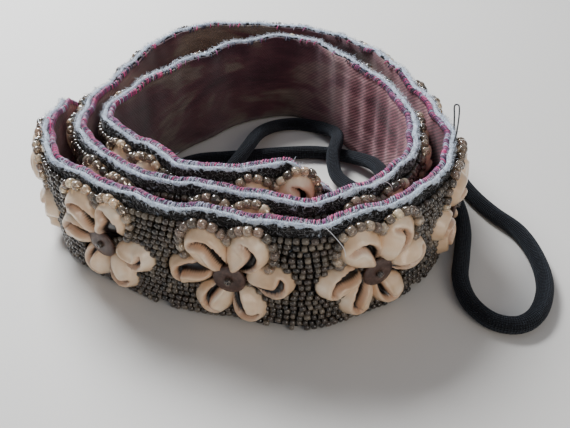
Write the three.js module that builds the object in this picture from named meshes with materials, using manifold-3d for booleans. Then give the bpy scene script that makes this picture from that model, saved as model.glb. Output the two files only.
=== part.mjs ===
// A shell belt, coiled and standing on edge: a felt strap with a cotton lining inside, and outside it
// rows of seed beads and flowers of six cowrie shells, with a soft cord loop at each end.
// Millimetres, +Z up. The origin is on the ground under the middle of the coil.
import * as THREE from 'three';
import { mergeVertices } from 'three/addons/utils/BufferGeometryUtils.js';
import Module from 'manifold-3d';

const wasm = await Module();
wasm.setup();

// Belt
const BELT_WIDTH = 40;
const FELT_THICKNESS = 2;
const LINING_THICKNESS = 0.9;
const BEAD_THICKNESS = 1.9;
const FIT = 0.3;
const LINING_INSET = 0.9;
const END_TAPER = 14;
const END_WIDTH = 13;
const LONGEST_STEP = 13;
const WIDEST_TURN = 15;
const EDGE_WAVE = 0.7;

// Coil, seen from above: the belt runs clockwise from its inner tip.
// heading is the bearing from the coil's middle, in degrees clockwise from +X.
// reach is the distance from the middle, as a share of COIL_REACH.
const COIL_REACH = 75;
const COIL_MIDDLE = { x: 0.73, y: -1.1 };
const COIL = [
  { heading: 55, reach: 0.668 },
  { heading: 68, reach: 0.612 },
  { heading: 90, reach: 0.603 },
  { heading: 108, reach: 0.643 },
  { heading: 128, reach: 0.608 },
  { heading: 146, reach: 0.629 },
  { heading: 165, reach: 0.692 },
  { heading: 184, reach: 0.632 },
  { heading: 202, reach: 0.589 },
  { heading: 222, reach: 0.579 },
  { heading: 240, reach: 0.597 },
  { heading: 256, reach: 0.681 },
  { heading: 270, reach: 0.753 },
  { heading: 286, reach: 0.815 },
  { heading: 303, reach: 0.748 },
  { heading: 322, reach: 0.684 },
  { heading: 342, reach: 0.691 },
  { heading: 360, reach: 0.727 },
  { heading: 380, reach: 0.796 },
  { heading: 400, reach: 0.864 },
  { heading: 420, reach: 0.88 },
  { heading: 434, reach: 0.88 },
  { heading: 448, reach: 0.784 },
  { heading: 464, reach: 0.748 },
  { heading: 482, reach: 0.776 },
  { heading: 500, reach: 0.781 },
  { heading: 518, reach: 0.808 },
  { heading: 536, reach: 0.784 },
  { heading: 554, reach: 0.749 },
  { heading: 572, reach: 0.787 },
  { heading: 590, reach: 0.904 },
  { heading: 610, reach: 1.024 },
  { heading: 630, reach: 0.984 },
  { heading: 650, reach: 0.96 },
  { heading: 670, reach: 0.903 },
  { heading: 690, reach: 0.857 },
  { heading: 708, reach: 0.829 },
  { heading: 726, reach: 0.877 },
  { heading: 744, reach: 0.973 },
  { heading: 764, reach: 1.021 },
  { heading: 784, reach: 1.009 },
  { heading: 796, reach: 1.008 },
  { heading: 812, reach: 0.915 },
  { heading: 830, reach: 0.904 },
  { heading: 848, reach: 0.904 },
  { heading: 866, reach: 0.957 },
  { heading: 884, reach: 0.947 },
  { heading: 900, reach: 0.904 },
  { heading: 911, reach: 0.875 },
];

// Flowers along the belt: the strap left before the first and after the last, and the wide gaps after the
// first, as shares of the belt's length. The other gaps are even.
const FLOWERS = 21;
const FIRST_SHARE = 0.0212;
const WIDE_SHARE = 0.0543;
const WIDE_GAPS = 2;
const LAST_SHARE = 0.0375;

// How high the flowers' middles are, as a share of the belt's width
const MIDDLE_SHARE = 0.47;

// Shell of a flower, long axis outwards: its length is a share of the pitch, the rest are shares of its length
const SHELL_SHARE = 0.346;
const SHELL_WIDTH_SHARE = 0.84;
const OUTER_RISE_SHARE = 0.338;
const INNER_RISE_SHARE = 0.23;
const CREST_SHARE = 0.66;
const CREST_WIDTH_SHARE = 0.445;
const SLOT_SHARE = 0.22;
const SHELL_SIDES = 8;
const FOOT_SHARE = 0.45;
const PETALS = [
  { bearing: 0, out: 0.811 },
  { bearing: 60, out: 0.73 },
  { bearing: 120, out: 0.73 },
  { bearing: 180, out: 0.811 },
  { bearing: 240, out: 0.73 },
  { bearing: 300, out: 0.73 },
];

// Disc at a flower's middle, as shares of a shell's length
const DISC_SHARE = 0.338;
const DISC_THICK_SHARE = 0.095;
const DISC_SIDES = 8;

// Bead rows: how high they reach beside a flower's centre, as shares of half its width and of the belt's width
const BEAD_FOOT = 0.4;
const BEAD_OUTLINE = [
  { beside: 0, height: 0.05 },
  { beside: 0.56, height: 0.055 },
  { beside: 0.68, height: 0.2 },
  { beside: 0.88, height: 0.28 },
  { beside: 1.05, height: 0.42 },
  { beside: 1.09, height: 0.88 },
];

// Cords
const CORD_DIAMETER = 5.5;
const CORD_SIDES = 8;
const CORD_STEP = 16;
const INNER_CORD = [
  [30.3, -41.3, 22.9], [36.8, -40.2, 21.9], [42.3, -36.2, 18.4], [44.9, -28.6, 13.9], [43.3, -18.6, 9.2],
  [38.4, -9.4, 5.4], [33.5, -0.2, 4.6], [32.5, 9.8, 7.2], [34.7, 18.8, 8.9], [35.1, 26.8, 7.6],
  [31.9, 35.4, 5.0], [25.9, 41.8, 3.2], [17.9, 44.4, 2.85], [9.3, 42.0, 3.3], [3.5, 33.8, 5.6],
  [0.3, 24.0, 8.2], [-2.1, 15.8, 8.9], [-6.5, 6.4, 7.4], [-12.7, -2.0, 4.2], [-21.7, -6.6, 2.85],
  [-30.5, -2.6, 2.85], [-31.7, 7.4, 2.85], [-23.9, 13.8, 2.85], [-12.1, 15.8, 2.85], [-0.1, 17.4, 2.85],
  [12.9, 19.4, 2.85], [25.9, 20.0, 2.85], [37.3, 17.0, 3.2], [44.5, 10.6, 5.2], [48.5, 3.2, 7.8],
  [50.5, -5.6, 9.6], [51.1, -15.6, 10.4], [49.5, -26.6, 11.4], [44.9, -36.6, 13.6], [38.2, -40.9, 16.2],
  [30.3, -41.3, 17.0],
];
const OUTER_CORD = [
  [-63.1, 13.3, 22.9], [-61.4, 20.0, 22.4], [-62.8, 31.0, 19.0], [-62.0, 44.4, 13.0], [-57.6, 56.2, 7.4],
  [-50.2, 66.8, 3.8], [-41.0, 74.8, 2.85], [-26.0, 82.4, 2.85], [-8.0, 85.6, 2.85], [10.0, 84.0, 2.85],
  [27.9, 77.6, 2.85], [42.6, 68.4, 2.85], [55.6, 54.6, 2.85], [65.6, 36.8, 2.85], [72.0, 16.6, 2.85],
  [75.9, -0.6, 2.85], [78.2, -17.0, 2.85], [77.0, -32.0, 2.85], [73.2, -46.0, 2.85], [70.2, -57.0, 2.85],
  [70.6, -67.4, 2.85], [75.6, -75.4, 2.85], [83.4, -77.0, 2.85], [90.8, -71.8, 2.85], [96.6, -60.6, 2.85],
  [98.4, -46.8, 2.85], [96.4, -33.0, 2.85], [90.0, -22.0, 2.85], [85.0, -9.6, 2.85], [80.6, 10.0, 2.85],
  [73.4, 34.4, 2.85], [60.4, 58.4, 2.85], [41.4, 77.2, 2.85], [17.0, 88.6, 2.85], [-10.0, 91.6, 2.85],
  [-35.4, 85.6, 2.85], [-55.6, 71.0, 2.85], [-67.2, 53.0, 5.0], [-70.2, 39.0, 9.6], [-66.2, 25.6, 14.6],
  [-63.1, 13.3, 17.0],
];

// Plan of the coil

// Distance from the middle at a bearing, on a smooth curve through the rows of COIL.
function reachAt(heading) {
  const last = COIL.length - 1;
  let row = 0;
  while (row < last - 1 && heading > COIL[row + 1].heading) row += 1;
  const slope = (at) => {
    const before = COIL[Math.max(at - 1, 0)];
    const after = COIL[Math.min(at + 1, last)];
    return (after.reach - before.reach) / (after.heading - before.heading);
  };
  const from = COIL[row];
  const to = COIL[row + 1];
  const span = to.heading - from.heading;
  const t = (heading - from.heading) / span;
  const u = 1 - t;
  const ends = u * u * (1 + 2 * t) * from.reach + t * t * (3 - 2 * t) * to.reach;
  const slopes = t * u * span * (u * slope(row) - t * slope(row + 1));
  return COIL_REACH * (ends + slopes);
}

function planPoint(heading) {
  const angle = -THREE.MathUtils.degToRad(heading);
  const reach = reachAt(heading);
  return new THREE.Vector2(COIL_MIDDLE.x + reach * Math.cos(angle), COIL_MIDDLE.y + reach * Math.sin(angle));
}

// The belt's middle line as a fine run of points with the distance along it.
function traceBelt() {
  const first = COIL[0].heading;
  const last = COIL[COIL.length - 1].heading;
  const points = [];
  let along = 0;
  for (let heading = first; heading <= last; heading += 0.5) {
    const point = planPoint(heading);
    if (points.length) along += point.distanceTo(points[points.length - 1].point);
    points.push({ point, along });
  }
  return points;
}

const SAMPLE = 1.5;
const TRACE = traceBelt();
const BELT_LENGTH = TRACE[TRACE.length - 1].along;
const EVEN_SHARE = 1 - FIRST_SHARE - LAST_SHARE - WIDE_GAPS * WIDE_SHARE;
const PITCH = (EVEN_SHARE * BELT_LENGTH) / (FLOWERS - 1 - WIDE_GAPS);
const SHELL = SHELL_SHARE * PITCH;
const FLOWER_REACH = (Math.max(...PETALS.map((petal) => petal.out)) + 0.5) * SHELL;

function pointAlong(along) {
  const clipped = THREE.MathUtils.clamp(along, 0, BELT_LENGTH);
  const high = Math.max(TRACE.findIndex((entry) => entry.along >= clipped), 1);
  const before = TRACE[high - 1];
  const after = TRACE[high];
  const share = (clipped - before.along) / (after.along - before.along);
  return before.point.clone().lerp(after.point, share);
}

function outwardAlong(along) {
  const way = pointAlong(along + SAMPLE).sub(pointAlong(along - SAMPLE)).normalize();
  return new THREE.Vector2(-way.y, way.x);
}

// Stations where the walls have their edges: closer together where the belt bends sharply.
function beltStations() {
  const stations = [];
  const add = (along) => stations.push({ along, point: pointAlong(along), outward: outwardAlong(along) });
  add(0);
  for (const { along } of TRACE) {
    const last = stations[stations.length - 1];
    const turned = THREE.MathUtils.radToDeg(outwardAlong(along).angleTo(last.outward));
    const tapers = [END_TAPER, BELT_LENGTH - END_TAPER].some((edge) => last.along < edge && along >= edge);
    if (along - last.along > LONGEST_STEP || turned > WIDEST_TURN || tapers) add(along);
  }
  add(BELT_LENGTH);
  return stations;
}

const STATIONS = beltStations();

// Place on the belt, level between two stations so that every layer keeps to the same facets: the middle
// line's point, the way along it and the way out of the coil.
function frameAlong(along) {
  const clipped = THREE.MathUtils.clamp(along, 0, BELT_LENGTH);
  const high = Math.max(STATIONS.findIndex((station) => station.along >= clipped), 1);
  const before = STATIONS[high - 1];
  const after = STATIONS[high];
  const share = (clipped - before.along) / (after.along - before.along);
  const point = before.point.clone().lerp(after.point, share);
  const outward = before.outward.clone().lerp(after.outward, share);
  const tangent = new THREE.Vector2(outward.y, -outward.x).normalize();
  return { point, tangent, outward };
}

// Solids

function closedBody(points, triangles) {
  const geometry = new THREE.BufferGeometry();
  geometry.setAttribute('position', new THREE.Float32BufferAttribute(points.flat(), 3));
  geometry.setIndex(triangles.flat());
  geometry.computeVertexNormals();
  return geometry;
}

// A wall that follows the belt between two offsets from its middle line. Each stop has a place along
// the belt and the heights of the wall's foot and top there.
function beltWall(stops, inner, outer) {
  const points = [];
  for (const { along, foot, top } of stops) {
    const { point, outward } = frameAlong(along);
    const near = point.clone().addScaledVector(outward, inner);
    const far = point.clone().addScaledVector(outward, outer);
    points.push([near.x, near.y, foot], [far.x, far.y, foot], [far.x, far.y, top], [near.x, near.y, top]);
  }
  const triangles = [[0, 2, 1], [0, 3, 2]];
  for (let stop = 0; stop < stops.length - 1; stop += 1) {
    for (let side = 0; side < 4; side += 1) {
      const a = 4 * stop + side;
      const b = 4 * stop + ((side + 1) % 4);
      triangles.push([a, b, b + 4], [a, b + 4, a + 4]);
    }
  }
  const end = 4 * (stops.length - 1);
  triangles.push([end, end + 1, end + 2], [end, end + 2, end + 3]);
  return closedBody(points, triangles);
}

// Half of the strap's width at a place along it: full, and narrowing to END_WIDTH at each tip.
function halfWidth(along) {
  const fromTip = Math.min(along, BELT_LENGTH - along);
  const share = Math.min(fromTip / END_TAPER, 1);
  return (END_WIDTH + (BELT_WIDTH - END_WIDTH) * share) / 2;
}

// The strap's cut top edge dips a little beside each flower, where the stitches draw it in.
function edgeDip(along) {
  return EDGE_WAVE * (0.5 - 0.5 * Math.cos((4 * Math.PI * (along - flowerPlace(0))) / PITCH));
}

function strapStops(inset) {
  const within = STATIONS.slice(1, -1).map((station) => station.along);
  const places = [inset, ...within.filter((along) => along > inset + FIT && along < BELT_LENGTH - inset - FIT)];
  places.push(BELT_LENGTH - inset);
  return places.map((along) => {
    const half = halfWidth(along) - inset;
    return { along, foot: BELT_WIDTH / 2 - half, top: BELT_WIDTH / 2 + half - edgeDip(along) };
  });
}

function feltBand() {
  return beltWall(strapStops(0), -FELT_THICKNESS / 2, FELT_THICKNESS / 2);
}

function cottonLining() {
  const face = -FELT_THICKNESS / 2 - FIT;
  return beltWall(strapStops(LINING_INSET), face - LINING_THICKNESS, face);
}

function flowerPlace(index) {
  const wide = Math.min(index, WIDE_GAPS);
  return BELT_LENGTH * (FIRST_SHARE + wide * WIDE_SHARE) + (index - wide) * PITCH;
}

// The bead rows stand full height between flowers and pass under each flower as a low strip. Every
// station inside the run is a stop too, at the height between its neighbours.
function beadField() {
  const outline = [];
  for (let index = 0; index < FLOWERS; index += 1) {
    const centre = flowerPlace(index);
    const rows = [...BEAD_OUTLINE.slice(1).reverse().map((row) => ({ ...row, beside: -row.beside })), ...BEAD_OUTLINE];
    for (const row of rows) outline.push({ along: centre + row.beside * FLOWER_REACH, top: row.height * BELT_WIDTH });
  }
  const run = outline.filter((stop) => stop.along >= flowerPlace(0) && stop.along <= flowerPlace(FLOWERS - 1));
  const stops = run.map((stop) => ({ ...stop, foot: BEAD_FOOT }));
  for (const { along } of STATIONS) {
    const after = run.findIndex((stop) => stop.along > along + FIT);
    if (after < 1 || along < run[after - 1].along + FIT) continue;
    const share = (along - run[after - 1].along) / (run[after].along - run[after - 1].along);
    const top = THREE.MathUtils.lerp(run[after - 1].top, run[after].top, share);
    stops.push({ along, top, foot: BEAD_FOOT });
  }
  stops.sort((one, other) => one.along - other.along);
  const face = FELT_THICKNESS / 2 + FIT;
  return beltWall(stops, face, face + BEAD_THICKNESS);
}

// One shell, lying on the belt's outer face: a dome with a slot along its crest. x is its long axis and
// points to the flower's middle, y is across it and z is away from the belt.
function shellPoints() {
  const ring = (length, width, inner, outer) => {
    const points = [];
    for (let side = 0; side < SHELL_SIDES; side += 1) {
      const angle = (2 * Math.PI * (side + 0.5)) / SHELL_SIDES;
      const x = (length / 2) * Math.cos(angle);
      const rise = THREE.MathUtils.lerp(outer, inner, (Math.cos(angle) + 1) / 2);
      points.push([x, (width / 2) * Math.sin(angle), rise]);
    }
    return points;
  };
  const width = SHELL_WIDTH_SHARE * SHELL;
  const inner = INNER_RISE_SHARE * SHELL;
  const outer = OUTER_RISE_SHARE * SHELL;
  const foot = ring(SHELL, width, 0, 0);
  const crest = ring(CREST_SHARE * SHELL, CREST_WIDTH_SHARE * SHELL, inner, outer);
  const reach = SLOT_SHARE * SHELL;
  const slot = [[reach, 0, inner / 2], [-reach, 0, outer / 2]];
  return [...foot, ...crest, ...slot];
}

function shellTriangles() {
  const triangles = [];
  const sides = SHELL_SIDES;
  for (let corner = 1; corner < sides - 1; corner += 1) triangles.push([0, corner + 1, corner]);
  for (let a = 0; a < sides; a += 1) {
    const b = (a + 1) % sides;
    triangles.push([a, b, b + sides], [a, b + sides, a + sides]);
  }
  const crest = sides;
  const near = 2 * sides;
  const far = near + 1;
  for (let corner = 0; corner < sides; corner += 1) {
    const next = (corner + 1) % sides;
    const nearHalf = corner < sides / 4 || corner >= (3 * sides) / 4;
    const nextNear = next < sides / 4 || next >= (3 * sides) / 4;
    const middle = nearHalf ? near : far;
    triangles.push([crest + corner, crest + next, middle]);
    if (nearHalf !== nextNear) triangles.push([crest + next, nextNear ? near : far, middle]);
  }
  return triangles;
}

const SHELL_POINTS = shellPoints();
const SHELL_TRIANGLES = shellTriangles();

// How far a flat-footed piece has to stand off the belt so that it clears the felt where the belt curves
// towards it.
function standOff(along, reach) {
  const here = frameAlong(along);
  let lift = 0;
  for (const side of [-1, -0.5, 0.5, 1]) {
    const there = frameAlong(along + side * reach);
    const face = there.point.clone().addScaledVector(there.outward, FELT_THICKNESS / 2);
    const own = here.point.clone().addScaledVector(here.outward, FELT_THICKNESS / 2);
    lift = Math.max(lift, face.sub(own).dot(here.outward));
  }
  return lift;
}

// Where a shell of a flower lies: its middle on the belt, with x towards the flower's middle.
function petalPlace(centre, petal) {
  const bearing = THREE.MathUtils.degToRad(petal.bearing);
  const along = centre + petal.out * SHELL * Math.cos(bearing);
  const height = MIDDLE_SHARE * BELT_WIDTH + petal.out * SHELL * Math.sin(bearing);
  const { point, tangent, outward } = frameAlong(along);
  const lift = FELT_THICKNESS / 2 + FIT + standOff(along, FOOT_SHARE * SHELL);
  const origin = new THREE.Vector3(point.x + outward.x * lift, point.y + outward.y * lift, height);
  const alongAxis = new THREE.Vector3(tangent.x, tangent.y, 0);
  const outAxis = new THREE.Vector3(outward.x, outward.y, 0);
  const upAxis = new THREE.Vector3(0, 0, 1);
  const inward = alongAxis.clone().multiplyScalar(-Math.cos(bearing)).addScaledVector(upAxis, -Math.sin(bearing));
  const across = outAxis.clone().cross(inward);
  return new THREE.Matrix4().makeBasis(inward, across, outAxis).setPosition(origin);
}

function petalSolid(centre, petal) {
  const place = petalPlace(centre, petal);
  const corners = SHELL_POINTS.map((corner) => new THREE.Vector3(...corner).applyMatrix4(place));
  return new wasm.Manifold(new wasm.Mesh({
    numProp: 3,
    vertProperties: new Float32Array(corners.flatMap((corner) => corner.toArray())),
    triVerts: new Uint32Array(SHELL_TRIANGLES.flat()),
  }));
}

function geometryFromSolid(solid) {
  const mesh = solid.getMesh();
  const geometry = new THREE.BufferGeometry();
  geometry.setAttribute('position', new THREE.Float32BufferAttribute(mesh.vertProperties, 3));
  geometry.setIndex([...mesh.triVerts]);
  geometry.computeVertexNormals();
  return geometry;
}

// Six shells round a middle, each seated on the belt where it lies and joined where they touch.
function cowrieFlower(centre) {
  let flower = petalSolid(centre, PETALS[0]);
  for (const petal of PETALS.slice(1)) flower = flower.add(petalSolid(centre, petal));
  return geometryFromSolid(flower);
}

// How far out of the belt's middle line the disc's back lies, so that it rests on the shells' inner slopes.
function discSeat(centre) {
  const { point, outward } = frameAlong(centre);
  const middle = new THREE.Vector3(point.x, point.y, MIDDLE_SHARE * BELT_WIDTH);
  const tip = (Math.cos(Math.PI / SHELL_SIDES) * SHELL) / 2;
  const slope = (1 - CREST_SHARE) * tip;
  const seats = PETALS.map((petal) => {
    const rim = (petal.out - DISC_SHARE) * SHELL;
    const rise = INNER_RISE_SHARE * SHELL * THREE.MathUtils.clamp((tip - rim) / slope, 0, 1);
    const rest = new THREE.Vector3(rim, 0, rise).applyMatrix4(petalPlace(centre, petal)).sub(middle);
    return rest.x * outward.x + rest.y * outward.y;
  });
  return Math.max(...seats) + FIT;
}

function coconutDisc() {
  const radius = DISC_SHARE * SHELL;
  return new THREE.CylinderGeometry(radius, radius, DISC_THICK_SHARE * SHELL, DISC_SIDES);
}

function cord(route) {
  const section = [];
  for (let side = 0; side < CORD_SIDES; side += 1) {
    const angle = (2 * Math.PI * side) / CORD_SIDES;
    section.push(new THREE.Vector2(Math.cos(angle), Math.sin(angle)).multiplyScalar(CORD_DIAMETER / 2));
  }
  const path = new THREE.CatmullRomCurve3(route.map((stop) => new THREE.Vector3(...stop)));
  const steps = Math.round(path.getLength() / CORD_STEP);
  const tube = new THREE.ExtrudeGeometry(new THREE.Shape(section), { steps, extrudePath: path, bevelEnabled: false });
  tube.deleteAttribute('normal');
  tube.deleteAttribute('uv');
  return mergeVertices(tube, 0.001);
}

// Assembly

const FELT = new THREE.MeshStandardMaterial({ color: 0x2a2a2e, roughness: 0.95 });
const COTTON = new THREE.MeshStandardMaterial({ color: 0x5c3238, roughness: 0.85 });
const BEADS = new THREE.MeshStandardMaterial({ color: 0x6a5f52, roughness: 0.25 });
const COWRIE = new THREE.MeshStandardMaterial({ color: 0xcdb59a, roughness: 0.35 });
const COCONUT = new THREE.MeshStandardMaterial({ color: 0x4a332b, roughness: 0.5 });
const CORD = new THREE.MeshStandardMaterial({ color: 0x15171c, roughness: 0.7 });

const belt = new THREE.Group();

function addPiece(name, geometry, material) {
  const piece = new THREE.Mesh(geometry, material);
  piece.name = name;
  belt.add(piece);
  return piece;
}

addPiece('felt_band', feltBand(), FELT);
addPiece('cotton_lining', cottonLining(), COTTON);
addPiece('bead_field', beadField(), BEADS);
for (let index = 0; index < FLOWERS; index += 1) {
  const number = String(index + 1).padStart(2, '0');
  const centre = flowerPlace(index);
  addPiece(`cowrie_flower_${number}`, cowrieFlower(centre), COWRIE);

  const disc = addPiece(`coconut_disc_${number}`, coconutDisc(), COCONUT);
  const { point, outward } = frameAlong(centre);
  const lift = discSeat(centre) + (DISC_THICK_SHARE * SHELL) / 2;
  disc.position.set(point.x + outward.x * lift, point.y + outward.y * lift, MIDDLE_SHARE * BELT_WIDTH);
  disc.quaternion.setFromUnitVectors(new THREE.Vector3(0, 1, 0), new THREE.Vector3(outward.x, outward.y, 0));
}
addPiece('inner_cord_loop', cord(INNER_CORD), CORD);
addPiece('outer_cord_loop', cord(OUTER_CORD), CORD);

export default belt;
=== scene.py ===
import bpy, bmesh, math, random
import numpy as np
from mathutils import Matrix, Vector


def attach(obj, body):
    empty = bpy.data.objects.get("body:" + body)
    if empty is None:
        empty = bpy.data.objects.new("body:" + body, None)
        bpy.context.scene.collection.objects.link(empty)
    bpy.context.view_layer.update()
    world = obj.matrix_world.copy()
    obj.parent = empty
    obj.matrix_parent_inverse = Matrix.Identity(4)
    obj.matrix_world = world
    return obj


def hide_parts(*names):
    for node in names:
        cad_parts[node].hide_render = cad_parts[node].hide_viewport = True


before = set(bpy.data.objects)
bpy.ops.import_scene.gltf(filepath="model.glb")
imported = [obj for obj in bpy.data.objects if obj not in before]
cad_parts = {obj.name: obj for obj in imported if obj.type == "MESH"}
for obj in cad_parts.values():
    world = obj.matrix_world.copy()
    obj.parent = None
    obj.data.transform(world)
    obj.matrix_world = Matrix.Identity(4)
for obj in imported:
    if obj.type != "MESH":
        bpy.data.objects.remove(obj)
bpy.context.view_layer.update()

# Camera, floor and light. The belt stands on a plain pale table and is seen from a little above its front,
# with soft daylight from behind on the left and a weaker fill from the front.
camera_data = bpy.data.cameras.new("camera")
camera_data.lens = 37.9
camera_data.sensor_width = 36
camera = bpy.data.objects.new("camera", camera_data)
camera.location = (0.0129, -0.1986, 0.1401)
camera.rotation_euler = (math.radians(52), 0, 0)
bpy.context.collection.objects.link(camera)
bpy.context.scene.camera = camera

floor_mesh = bpy.data.meshes.new("floor")
form = bmesh.new()
bmesh.ops.create_grid(form, x_segments=1, y_segments=1, size=3)
form.to_mesh(floor_mesh)
form.free()
floor = bpy.data.objects.new("floor", floor_mesh)
bpy.context.collection.objects.link(floor)
floor_look = bpy.data.materials.new("pale_table")
floor_look.use_nodes = True
floor_look.node_tree.nodes["Principled BSDF"].inputs["Base Color"].default_value = (0.66, 0.63, 0.59, 1)
floor_look.node_tree.nodes["Principled BSDF"].inputs["Roughness"].default_value = 0.6
floor_mesh.materials.append(floor_look)

world = bpy.data.worlds.new("daylight")
bpy.context.scene.world = world
world.use_nodes = True
world.node_tree.nodes["Background"].inputs["Color"].default_value = (0.80, 0.87, 1.0, 1)
world.node_tree.nodes["Background"].inputs["Strength"].default_value = 0.34


def soft_lamp(name, place, aim, size, power, colour):
    lamp_data = bpy.data.lights.new(name, "AREA")
    lamp_data.size = size
    lamp_data.energy = power
    lamp_data.color = colour
    lamp = bpy.data.objects.new(name, lamp_data)
    lamp.location = place
    lamp.rotation_euler = (Vector(aim) - Vector(place)).to_track_quat("-Z", "Y").to_euler()
    bpy.context.collection.objects.link(lamp)


soft_lamp("window", (-0.35, 0.55, 0.65), (0, 0, 0.02), 0.40, 21, (0.92, 0.96, 1.0))
soft_lamp("fill", (0.45, -0.75, 0.45), (0, -0.03, 0.02), 0.5, 2.7, (1.0, 0.90, 0.77))

# Tie cords: one soft black knitted cord sewn to each tip of the belt as a closed loop. The inner one lies
# inside the coil, the outer one runs round behind it and comes out on the right.
CORD_DIAMETER = 0.0055
INNER_CORD = [
    (30.3, -41.3, 22.9), (36.8, -40.2, 21.9), (42.3, -36.2, 18.4), (44.9, -28.6, 13.9), (43.3, -18.6, 9.2),
    (38.4, -9.4, 5.4), (33.5, -0.2, 4.6), (32.5, 9.8, 7.2), (34.7, 18.8, 8.9), (35.1, 26.8, 7.6),
    (31.9, 35.4, 5.0), (25.9, 41.8, 3.2), (17.9, 44.4, 2.85), (9.3, 42.0, 3.3), (3.5, 33.8, 5.6),
    (0.3, 24.0, 8.2), (-2.1, 15.8, 8.9), (-6.5, 6.4, 7.4), (-12.7, -2.0, 4.2), (-21.7, -6.6, 2.85),
    (-30.5, -2.6, 2.85), (-31.7, 7.4, 2.85), (-23.9, 13.8, 2.85), (-12.1, 15.8, 2.85), (-0.1, 17.4, 2.85),
    (12.9, 19.4, 2.85), (25.9, 20.0, 2.85), (37.3, 17.0, 3.2), (44.5, 10.6, 5.2), (48.5, 3.2, 7.8),
    (50.5, -5.6, 9.6), (51.1, -15.6, 10.4), (49.5, -26.6, 11.4), (44.9, -36.6, 13.6), (38.2, -40.9, 16.2),
    (30.3, -41.3, 17.0),
]
OUTER_CORD = [
    (-63.1, 13.3, 22.9), (-61.4, 20.0, 22.4), (-62.8, 31.0, 19.0), (-62.0, 44.4, 13.0), (-57.6, 56.2, 7.4),
    (-50.2, 66.8, 3.8), (-41.0, 74.8, 2.85), (-26.0, 82.4, 2.85), (-8.0, 85.6, 2.85), (10.0, 84.0, 2.85),
    (27.9, 77.6, 2.85), (42.6, 68.4, 2.85), (55.6, 54.6, 2.85), (65.6, 36.8, 2.85), (72.0, 16.6, 2.85),
    (75.9, -0.6, 2.85), (78.2, -17.0, 2.85), (77.0, -32.0, 2.85), (73.2, -46.0, 2.85), (70.2, -57.0, 2.85),
    (70.6, -67.4, 2.85), (75.6, -75.4, 2.85), (83.4, -77.0, 2.85), (90.8, -71.8, 2.85), (96.6, -60.6, 2.85),
    (98.4, -46.8, 2.85), (96.4, -33.0, 2.85), (90.0, -22.0, 2.85), (85.0, -9.6, 2.85), (80.6, 10.0, 2.85),
    (73.4, 34.4, 2.85), (60.4, 58.4, 2.85), (41.4, 77.2, 2.85), (17.0, 88.6, 2.85), (-10.0, 91.6, 2.85),
    (-35.4, 85.6, 2.85), (-55.6, 71.0, 2.85), (-67.2, 53.0, 5.0), (-70.2, 39.0, 9.6), (-66.2, 25.6, 14.6),
    (-63.1, 13.3, 17.0),
]


def smooth_route(stops, per_gap):
    stops = [Vector(stop) * 0.001 for stop in stops]
    ends = [2 * stops[0] - stops[1]] + stops + [2 * stops[-1] - stops[-2]]
    points = []
    for before, start, stop, after in zip(ends, ends[1:], ends[2:], ends[3:]):
        for step in range(per_gap):
            t = step / per_gap
            near = 2 * start + (stop - before) * t
            bend = 2 * before - 5 * start + 4 * stop - after
            twist = 3 * start - before - 3 * stop + after
            far = bend * t * t + twist * t ** 3
            points.append((near + far) / 2)
    return points + [stops[-1]]


def tube(form, points, radii, sides, close=True):
    """Adds a round tube along the points to a bmesh and gives its rings of vertices."""
    rings = []
    normal = (points[1] - points[0]).orthogonal().normalized()
    for index, point in enumerate(points):
        ahead = points[min(index + 1, len(points) - 1)]
        behind = points[max(index - 1, 0)]
        along = (ahead - behind).normalized()
        normal = (normal - along * normal.dot(along)).normalized()
        side = along.cross(normal)
        ring = []
        for corner in range(sides):
            turn = 2 * math.pi * corner / sides
            away = normal * math.cos(turn) + side * math.sin(turn)
            ring.append(form.verts.new(point + radii[index] * away))
        rings.append(ring)
    for one, two in zip(rings, rings[1:]):
        for corner in range(sides):
            after = (corner + 1) % sides
            form.faces.new((one[corner], one[after], two[after], two[corner]))
    if close:
        form.faces.new(rings[0][::-1])
        form.faces.new(rings[-1])
    return rings


def finished(name, form, look, nodes=()):
    mesh = bpy.data.meshes.new(name)
    form.to_mesh(mesh)
    form.free()
    return put_in(name, mesh, look, nodes)


def put_in(name, mesh, look, nodes):
    mesh.shade_smooth()
    piece = bpy.data.objects.new(name, mesh)
    bpy.context.collection.objects.link(piece)
    mesh.materials.append(look)
    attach(piece, "root")
    if nodes:
        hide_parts(*nodes)
    return piece


def new_look(name, roughness=0.6, **sockets):
    look = bpy.data.materials.new(name)
    look.use_nodes = True
    tree = look.node_tree
    shader = tree.nodes["Principled BSDF"]
    shader.inputs["Roughness"].default_value = roughness
    for socket, value in sockets.items():
        shader.inputs[socket.replace("_", " ")].default_value = value
    return look, tree, shader


def node(tree, kind, links=(), **values):
    made = tree.nodes.new(kind)
    for key, value in values.items():
        if hasattr(made, key):
            setattr(made, key, value)
        else:
            made.inputs[key.replace("_", " ")].default_value = value
    for source, socket in links:
        tree.links.new(source, made.inputs[socket])
    return made


def feed(tree, socket, term):
    """Gives a socket a number or a colour, or links another node's output to it."""
    if isinstance(term, (int, float, tuple)):
        socket.default_value = term
    else:
        tree.links.new(term, socket)


def reckon(tree, operation, *terms):
    made = tree.nodes.new("ShaderNodeMath")
    made.operation = operation
    for socket, term in zip(made.inputs, terms):
        feed(tree, socket, term)
    return made.outputs[0]


def ramp(tree, source, stops):
    made = tree.nodes.new("ShaderNodeValToRGB")
    tree.links.new(source, made.inputs["Fac"])
    while len(made.color_ramp.elements) < len(stops):
        made.color_ramp.elements.new(0.5)
    for element, (place, colour) in zip(made.color_ramp.elements, stops):
        element.position = place
        element.color = (*colour, 1)
    return made


def bump(tree, shader, height, strength, distance):
    made = tree.nodes.new("ShaderNodeBump")
    made.inputs["Strength"].default_value = strength
    made.inputs["Distance"].default_value = distance
    tree.links.new(height, made.inputs["Height"])
    tree.links.new(made.outputs["Normal"], shader.inputs["Normal"])


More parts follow.
